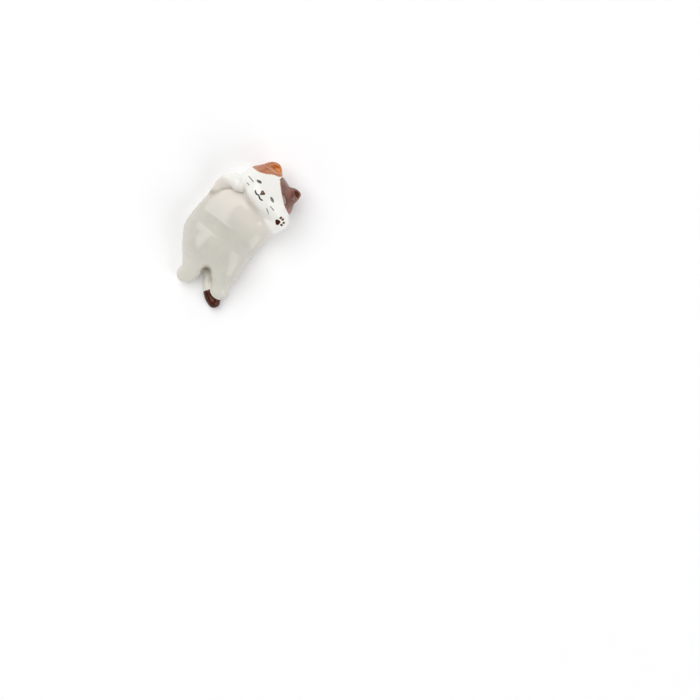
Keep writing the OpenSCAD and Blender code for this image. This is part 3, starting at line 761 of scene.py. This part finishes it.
# Each enamel: its darkest and lightest colours, the colour of its thin rim, and how it was brushed
enamels = {
    "orangeEnamel": {
        "deep": (0.41, 0.125, 0.053), "light": (0.57, 0.26, 0.155), "rim": (0.66, 0.28, 0.12), "turn": 20,
        # its spot is a painted highlight: a pale line along the fold of the right ear, with a darker run
        # beside it
        "spot": {"at": (-0.75, 26.35), "size": (3.1, 0.17), "turn": 8, "share": 0.7,
                 "colour": (0.70, 0.45, 0.36), "shade": (0.36, 0.13, 0.07)}},
    "brownEnamel": {
        "deep": (0.14, 0.053, 0.036), "light": (0.28, 0.13, 0.10), "rim": (0.54, 0.225, 0.105), "turn": -35,
        # thin makes the brown paler and pinker lower down the head: a painted reflection
        "thin": {"span": (0.0192, 0.0150), "share": 0.45, "colour": (0.36, 0.2, 0.15)},
        # its spot is a painted reflection: a pale leaf on the patch, with a dark run along one side
        "spot": {"at": (8.9, 21), "size": (2, 0.75), "turn": -26, "share": 0.8,
                 "colour": (0.42, 0.29, 0.25), "shade": (0.06, 0.022, 0.016)}},
    # the yellow-orange rim of this lining is in part a painted highlight along the cup's edge, in part the
    # enamel's own rim
    "earOrange": {"deep": (0.42, 0.095, 0.025), "light": (0.66, 0.23, 0.05), "rim": (0.70, 0.34, 0.10),
                  "turn": 45, "scale": 900},
    "earBrown": {"deep": (0.055, 0.011, 0.005), "light": (0.20, 0.055, 0.018), "scale": 900},
    "darkEnamel": {"deep": (0.036, 0.007, 0.0015), "light": (0.085, 0.019, 0.005), "rim": (0.14, 0.04, 0.014),
                   "turn": 30, "scale": 900, "shine": 0.25},
    "noseEnamel": {"deep": (0.12, 0.038, 0.028), "light": (0.22, 0.085, 0.065), "rim": (0.06, 0.018, 0.013),
                   "turn": 30, "scale": 1500},
    "lineEnamel": {"deep": (0.012, 0.012, 0.012), "light": (0.035, 0.034, 0.032), "scale": 2500},
    "eyeEnamel": {"deep": (0.02, 0.021, 0.02), "light": (0.16, 0.165, 0.15), "turn": 50, "scale": 1200},
    "paleEyeEnamel": {"deep": (0.055, 0.057, 0.052), "light": (0.22, 0.22, 0.205), "turn": 50, "scale": 1200},
    "whiskerEnamel": {"deep": (0.09, 0.085, 0.075), "light": (0.20, 0.19, 0.17), "scale": 2500},
}
# What they share; the rim's span is in millimetres from the edge
enamelLook = {"scale": 700, "turn": 0, "stretch": (1, 0.13, 1), "rough": 0.6, "broadScale": 260, "broad": 0.5,
              "contrast": (0.34, 0.66), "rimSpan": (0.05, 0.3), "rimShare": 0.8, "gloss": 0.07,
              "glossVary": 0.06, "shine": 0.5, "streakBump": 0.4, "waveScale": 230}
highlightLook = {"bare": (1.05, 0.75), "shade": (1.5, 0.9), "beside": 0.35}


def paintedHighlight(finish, colour, spot):
    # a painted highlight: a pale leaf-shaped spot, with a darker run along one side
    x, y = (finish.along(axis) * (1 / millimetre) - middle - shift      # in millimetres from its middle
            for axis, middle, shift in zip("XY", spot["at"], (catX, catY)))
    along, across = (way * (1 / size) for way, size in zip(turned(x, y, spot["turn"]), spot["size"]))
    beyond = across - highlightLook["beside"]
    shaded = finish.span(along * along + beyond * beyond, *highlightLook["shade"]) * spot["share"]
    colour = finish.blend(shaded, colour, spot["shade"])
    bare = finish.span(along * along + across * across, *highlightLook["bare"]) * spot["share"]
    return finish.blend(bare, colour, spot["colour"])


def enamel(name):
    look = {**enamelLook, **enamels[name]}
    finish = Finish(name)
    streaks = finish.noise(look["scale"], 3, look["stretch"], look["turn"], look["rough"])
    mixed = streaks * (1 - look["broad"]) + finish.noise(look["broadScale"]) * look["broad"]
    colour = finish.blend(finish.span(mixed, *look["contrast"]), look["deep"], look["light"])
    # a paler, pinker end of the coat: painted reflection
    if "thin" in look:
        thin = look["thin"]
        share = finish.span(finish.along("Y"), *thin["span"]) * thin["share"]
        colour = finish.blend(share, colour, thin["colour"])
    # a painted highlight spot
    if "spot" in look:
        colour = paintedHighlight(finish, colour, look["spot"])
    if "rim" in look:
        rim = finish.span(finish.attribute("inward"), *look["rimSpan"], look["rimShare"], 0)
        colour = finish.blend(rim, colour, look["rim"])
    waves = streaks * look["streakBump"] + finish.noise(look["waveScale"], detail=1)
    return finish.shade(Base_Color=colour, Roughness=look["gloss"] + streaks * look["glossVary"],
                        Specular_IOR_Level=look["shine"], Normal=finish.bump(waves))


patch("orangePatch", enamel("orangeEnamel"))
patch("brownPatch", enamel("brownEnamel"))
dark = enamel("darkEnamel")

linings = {
    "rightEarLining": {"on": "right_ear", "node": "right_ear_lining", "slot": "orange_lining",
                       "finish": "earOrange"},
    "leftEarLining": {"on": "left_ear", "node": "left_ear_lining", "slot": "dark_enamel",
                      "finish": "earBrown"},
}
liningSize = {"thick": 0.03, "base": 0.06}


def lining(name):
    look = linings[name]
    place = ears[look["on"]]
    length, width = place["cup"]["size"]

    def region(x, y, z):
        along, across = cupPlace(place, x, y)
        angle = np.arctan2(across / width, along / length)
        far = np.hypot(along / length, across / width) * 2
        inward = (1 - cup["bulge"] * np.sin(3 * angle) - far) * width / 2
        return np.where(z > ear["height"], inward, -1)

    points, triangles, inward = onBody(region, (look["on"], "head"))
    piece = shell(name, points, triangles, inward, **liningSize, material=enamel(look["finish"]))
    dress(piece, look["slot"], look["node"])


for name in linings:
    lining(name)

tip = {"share": 0.635, "slant": -0.15, "thick": 0.07, "waver": 0.05}


def tailTip():
    line = tubes["tail"][0]

    def region(x, y, z):
        far = columns(*(np.hypot(x - p[0], y - p[1]) for p in line))
        k = np.clip(far.argmin(1), 1, len(line) - 2)
        run = line[k + 1, :2] - line[k - 1, :2]
        step = np.linalg.norm(run, axis=1) / 2
        way = run / step[:, None] / 2
        lengths = np.concatenate([[0], np.cumsum(np.linalg.norm(np.diff(line[:, :2], axis=0), axis=1))])
        offset = columns(x, y) - line[k, :2]
        at = lengths[k] + (offset * way).sum(1)
        aside = offset[:, 0] * way[:, 1] - offset[:, 1] * way[:, 0]
        return at - tip["share"] * lengths[-1] + tip["slant"] * aside + waver(x, y, tip["waver"])

    points, triangles, inward = onBody(region, ("tail",))
    dress(shell("tailTip", points, triangles, inward, tip["thick"], 0, dark), "dark_enamel", "tail_tip")


tailTip()


def topAt(x, y):
    # the highest point of the clay over each place, found from above and then refined
    heights = np.arange(axes[2][-1], 0, -skin["step"])
    stack = columns(*(sampled(clay, columns(x, y, np.full_like(x, h))) for h in heights))
    first = (stack < 0).argmax(1)
    rows = np.arange(len(x))
    above, below = stack[rows, first - 1], stack[rows, first]
    z = heights[first - 1] - skin["step"] * above / (above - below)
    points = columns(x, y, z)
    for _ in range(skin["rounds"]):
        value = sampled(clayAndSlopes, points)
        points[:, 2] -= value[:, 0] / value[:, 3]
    return points


fine = {"step": 0.07, "thick": 0.03, "over": 0.65, "sides": 12}
marks = {
    "rightEye": {"node": "right_eye", "slot": "line_enamel", "finish": "eyeEnamel",
                 "at": (-0.45, 0.155), "turn": 20, "size": (2.1, 1), "bulge": 0},
    "leftEye": {"node": "left_eye", "slot": "line_enamel", "finish": "paleEyeEnamel",
                "at": (0.26, 0.148), "turn": -9, "size": (2.35, 0.96), "bulge": 0},
    "paintedNose": {"node": "nose", "slot": "dark_enamel", "finish": "noseEnamel",
                    "at": (-0.09, 0.008), "turn": 0, "size": (1.7, 1.5), "bulge": -0.14},
}


def markShell(name, origin, look, toPlace, material):
    # an oval of enamel, drawn out to three corners by its bulge, on a fine net of its own
    size, bulge = look["size"], look["bulge"]
    half = max(size) * fine["over"]
    ticks = np.arange(-half, half + fine["step"], fine["step"])
    u, v = (a.ravel() for a in np.meshgrid(ticks, ticks, indexing="ij"))
    angle = np.arctan2(v / size[1], u / size[0])
    inward = (1 - bulge * np.sin(3 * angle) - np.hypot(u / size[0], v / size[1]) * 2) * min(size) / 2
    x, y = turned(u, v, -look["turn"])
    x, y = toPlace(origin[0] + x, origin[1] + y)
    n = len(ticks)
    a = (np.arange(n - 1)[:, None] * n + np.arange(n - 1)).ravel()
    triangles = np.concatenate([columns(a, a + n, a + n + 1), columns(a, a + n + 1, a + 1)])
    points, triangles, inward = inside(columns(x, y, 0 * x), triangles, inward)
    return shell(name, topAt(points[:, 0], points[:, 1]), triangles, inward, fine["thick"], 0, material)


for name, look in marks.items():
    piece = markShell(name, headShare(look["at"]), look, fromHead, enamel(look["finish"]))
    dress(piece, look["slot"], look["node"])

pawMiddle, pawRadius = tubes["left_foreleg"][0][-1, :2], 3.55
heel = {"at": (0, -0.25), "size": (1.95, 1.8), "bulge": 0.1, "turn": -40}
origin = pawMiddle + np.array(heel["at"]) * pawRadius
piece = markShell("heelPad", origin, heel, lambda x, y: (x, y), dark)
dress(piece, "dark_enamel", "paw_heel_pad")


def onClay(name, places, joined, values):
    # the points of painted lines or spots on the clay, with the way up at each as an attribute
    points = topAt(*np.array(places, float).T)
    mesh = bpy.data.meshes.new(name)
    mesh.from_pydata(inFrame(points), joined, [])
    for label, value in {"up": normalsAt(points), **values}.items():
        kind, field = ("FLOAT_VECTOR", "vector") if np.ndim(value) == 2 else ("FLOAT", "value")
        mesh.attributes.new(label, kind, "POINT").data.foreach_set(field, np.ravel(value))
    return placed(name, mesh)


def nodeGroup(name, sizes):
    group = bpy.data.node_groups.new(name, "GeometryNodeTree")
    kinds = {"Geometry": "Geometry", **{size: "Float" for size in sizes}, "Finish": "Material"}
    for label, kind in kinds.items():
        group.interface.new_socket(label, in_out="INPUT", socket_type="NodeSocket" + kind)
    group.interface.new_socket("Geometry", in_out="OUTPUT", socket_type="NodeSocketGeometry")
    tree = NodeTree(group)
    entry = group.nodes.new("NodeGroupInput")
    return tree, {socket.name: Wire(tree, socket) for socket in entry.outputs if socket.name}


def named(tree, label, kind="FLOAT_VECTOR"):
    return tree.node("GeometryNodeInputNamedAttribute", {"Name": label}, data_type=kind)


def sunk(tree, geometry, depth):
    way = tree.node("ShaderNodeVectorMath", {0: named(tree, "up"), "Scale": depth * -1}, operation="SCALE")
    return tree.node("GeometryNodeSetPosition", {"Geometry": geometry, "Offset": way})


def closeTree(tree, geometry, finish):
    smooth = tree.node("GeometryNodeSetShadeSmooth", {"Geometry": geometry})
    whole = tree.node("GeometryNodeRealizeInstances", {"Geometry": smooth})
    painted = tree.node("GeometryNodeSetMaterial", {"Geometry": whole, "Material": finish})
    out = tree.tree.nodes.new("NodeGroupOutput")
    tree.set(out.inputs[0], painted)
    return tree.tree


def brushLineTree():
    tree, given = nodeGroup("brushLine", ("Radius", "Depth"))
    curve = tree.node("GeometryNodeMeshToCurve", {"Mesh": given["Geometry"]})
    curve = sunk(tree, curve, given["Depth"])
    ring = tree.node("GeometryNodeCurvePrimitiveCircle", {"Resolution": fine["sides"], "Radius": 1})
    width = named(tree, "press", "FLOAT") * given["Radius"]
    line = tree.node("GeometryNodeCurveToMesh",
                     {"Curve": curve, "Profile Curve": ring, "Fill Caps": True, "Scale": width})
    return closeTree(tree, line, given["Finish"])


def padTree():
    tree, given = nodeGroup("toePads", ("Radius", "Thickness", "Depth"))
    points = tree.node("GeometryNodeMeshToPoints", {"Mesh": given["Geometry"]})
    points = sunk(tree, points, given["Depth"])
    ball = tree.node("GeometryNodeMeshUVSphere",
                     {"Segments": 2 * fine["sides"], "Rings": fine["sides"], "Radius": 1})
    turn = tree.node("FunctionNodeAlignRotationToVector", {"Vector": named(tree, "up")}, axis="Z")
    turn = tree.node("FunctionNodeAlignRotationToVector", {"Rotation": turn, "Vector": named(tree, "way")},
                     axis="X", pivot_axis="Z")
    long = given["Radius"] * named(tree, "long", "FLOAT")
    size = tree.node("ShaderNodeCombineXYZ", {"X": long, "Y": given["Radius"], "Z": given["Thickness"]})
    pads = tree.node("GeometryNodeInstanceOnPoints",
                     {"Points": points, "Instance": ball, "Rotation": turn, "Scale": size})
    return closeTree(tree, pads, given["Finish"])


def grown(holder, group, name, inputs):
    modifier = holder.modifiers.new("make", "NODES")
    modifier.node_group = group
    for item in group.interface.items_tree:
        if item.item_type == "SOCKET" and item.in_out == "INPUT" and item.name in inputs:
            modifier[item.identifier] = inputs[item.name]
    bpy.context.view_layer.update()
    mesh = bpy.data.meshes.new_from_object(holder.evaluated_get(bpy.context.evaluated_depsgraph_get()))
    piece = placed(name, mesh)
    bpy.data.objects.remove(holder)
    return piece


lineGroup, padGroup = brushLineTree(), padTree()
lineLook = {"mouth": 0.56, "mouthTaper": 0.5, "whisker": 0.34, "whiskerTaper": 0.6, "taperPower": 6,
            "curl": 2.25, "curlDeep": 0.65, "lip": 0.7, "sunkShare": 0.8, "steps": 16}
mouthAt, noseAt = np.array(headShare((-0.1, -0.125))), np.array(headShare(marks["paintedNose"]["at"]))
whiskers = {
    "rightWhiskers": {"node": "right_whiskers",
                      "lines": (((-0.83, -0.046), (-0.51, -0.028)), ((-0.67, -0.25), (-0.52, -0.222)))},
    "leftWhiskers": {"node": "left_whiskers",
                     "lines": (((0.335, -0.205), (0.59, -0.285)), ((0.36, -0.06), (0.6, -0.035)))},
}


def brushLines(name, node, lines, width, finish, taper):
    places, joined, press = [], [], []
    for line in lines:
        start = len(places)
        places += [fromHead(*spot) for spot in line]
        joined += [(k, k + 1) for k in range(start, len(places) - 1)]
        t = np.linspace(-1, 1, len(line))
        press += list(1 - taper * np.abs(t) ** lineLook["taperPower"])
    holder = onClay(name + "Line", places, joined, {"press": press})
    radius = width / 2 / math.sqrt(1 - lineLook["sunkShare"] ** 2) * millimetre
    inputs = {"Radius": radius, "Depth": radius * lineLook["sunkShare"], "Finish": finish}
    piece = grown(holder, lineGroup, name, inputs)
    dress(piece, "line_enamel", node)


def straight(start, end):
    return [np.array(start) * (1 - t) + np.array(end) * t for t in np.linspace(0, 1, lineLook["steps"])]


whiskerGrey = enamel("whiskerEnamel")
for name, look in whiskers.items():
    lines = [straight(headShare(start), headShare(end)) for start, end in look["lines"]]
    brushLines(name, look["node"], lines, lineLook["whisker"], whiskerGrey, lineLook["whiskerTaper"])
curls = []
for side in (-1, 1):
    radius = lineLook["curl"] / 2
    curls.append([mouthAt + (side * radius * (1 - math.cos(a)), -radius * lineLook["curlDeep"] * math.sin(a))
                  for a in np.linspace(0, math.pi, 2 * lineLook["steps"])])
curls.append(straight(mouthAt, mouthAt + (noseAt - mouthAt) * lineLook["lip"]))
brushLines("paintedMouth", "mouth", curls, lineLook["mouth"], enamel("lineEnamel"), lineLook["mouthTaper"])

toes = {"places": ((-0.03, 0.28), (0.23, 0.28), (0.51, 0.09), (0.48, -0.22)), "long": (1.25, 1.25, 1.1, 1.2),
        "Radius": 0.44, "Thickness": 0.11, "Depth": 0.02}
toeShares = np.array(toes["places"])
ways = np.append(toeShares - heel["at"], np.zeros((len(toeShares), 1)), 1)
holder = onClay("toeSpots", pawMiddle + toeShares * pawRadius, [], {"way": ways, "long": toes["long"]})
inputs = {label: toes[label] * millimetre for label in ("Radius", "Thickness", "Depth")}
piece = grown(holder, padGroup, "toePads", {**inputs, "Finish": dark})
dress(piece, "dark_enamel", "paw_toe_pads")

view = {"height": 0.008, "pixels": 700, "scale": 0.3555, "centre": (61.43, -4.83), "angle": 4, "turn": 40,
        "sensor": 36, "far": 50}
lamps = {
    "softboxAbove": {"bearing": 128, "elevation": 60, "distance": 3.6, "size": 3.5, "power": 94},
    "softboxBeside": {"bearing": -42, "elevation": 38, "distance": 4.8, "size": 3.5, "power": 76},
}
sky = {"rim": 0.92, "top": 0.17, "rimHeight": 0.1, "topHeight": 0.75}


def lamp(name):
    look = lamps[name]
    light = bpy.data.lights.new(name, "AREA")
    light.shape, light.size, light.energy = "SQUARE", look["size"], look["power"]
    box = placed(name, light)
    bearing, rise = math.radians(view["turn"] + look["bearing"]), math.radians(look["elevation"])
    way = Vector((math.cos(bearing) * math.cos(rise), math.sin(bearing) * math.cos(rise), math.sin(rise)))
    box.location = way * look["distance"]
    box.rotation_euler = way.to_track_quat("Z", "Y").to_euler()


floorLook = {"light": (0.95, 0.95, 0.955), "dark": (0.935, 0.935, 0.94), "speckScale": 60, "rough": 0.9,
             "glow": 0.085, "half": 4}


def paleFloor():
    finish = Finish("paleFloor")
    speck = finish.noise(floorLook["speckScale"])
    colour = finish.blend(speck, floorLook["light"], floorLook["dark"])
    finish.shade(Base_Color=colour, Roughness=floorLook["rough"])
    direct, mirrored, through = (finish.node("ShaderNodeLightPath", out=f"Is {kind} Ray")
                                 for kind in ("Camera", "Glossy", "Transmission"))
    strength = (direct + mirrored + through) * floorLook["glow"]
    glow = finish.node("ShaderNodeEmission", {"Color": (1, 1, 1), "Strength": strength})
    both = finish.node("ShaderNodeAddShader", {0: Wire(finish, finish.shader.outputs[0]), 1: glow})
    finish.set(finish.tree.nodes["Material Output"].inputs["Surface"], both)
    mesh = bpy.data.meshes.new("floor")
    half = floorLook["half"]
    mesh.from_pydata([(-half, -half, 0), (half, -half, 0), (half, half, 0), (-half, half, 0)], [],
                     [(0, 1, 2, 3)])
    mesh.materials.append(finish.material)
    placed("floor", mesh)


def camera():
    lens = bpy.data.cameras.new("camera")
    lens.sensor_width = view["sensor"]
    half = math.tan(math.radians(view["angle"] / 2))
    lens.lens = lens.sensor_width / 2 / half
    lens.clip_end = view["far"]
    seen = placed("camera", lens)
    x, y = ((value + shift) * millimetre for value, shift in zip(view["centre"], (catX, catY)))
    seen.location = (x, y, view["height"] + view["pixels"] * view["scale"] * millimetre / 2 / half)
    seen.rotation_euler = (0, 0, math.radians(view["turn"]))
    bpy.context.scene.camera = seen


def studioWorld():
    world = bpy.data.worlds.new("studio")
    world.use_nodes = True
    bpy.context.scene.world = world
    tree = NodeTree(world.node_tree)
    way = tree.node("ShaderNodeTexCoord", out="Generated")
    height = tree.node("ShaderNodeSeparateXYZ", {"Vector": way}, out="Z")
    strength = tree.span(height, sky["rimHeight"], sky["topHeight"], sky["rim"], sky["top"])
    background = world.node_tree.nodes["Background"]
    tree.set(background.inputs["Color"], (1, 1, 1))
    tree.set(background.inputs["Strength"], strength)
    bpy.context.scene.view_settings.view_transform = "Standard"


for name in lamps:
    lamp(name)
paleFloor()
camera()
studioWorld()
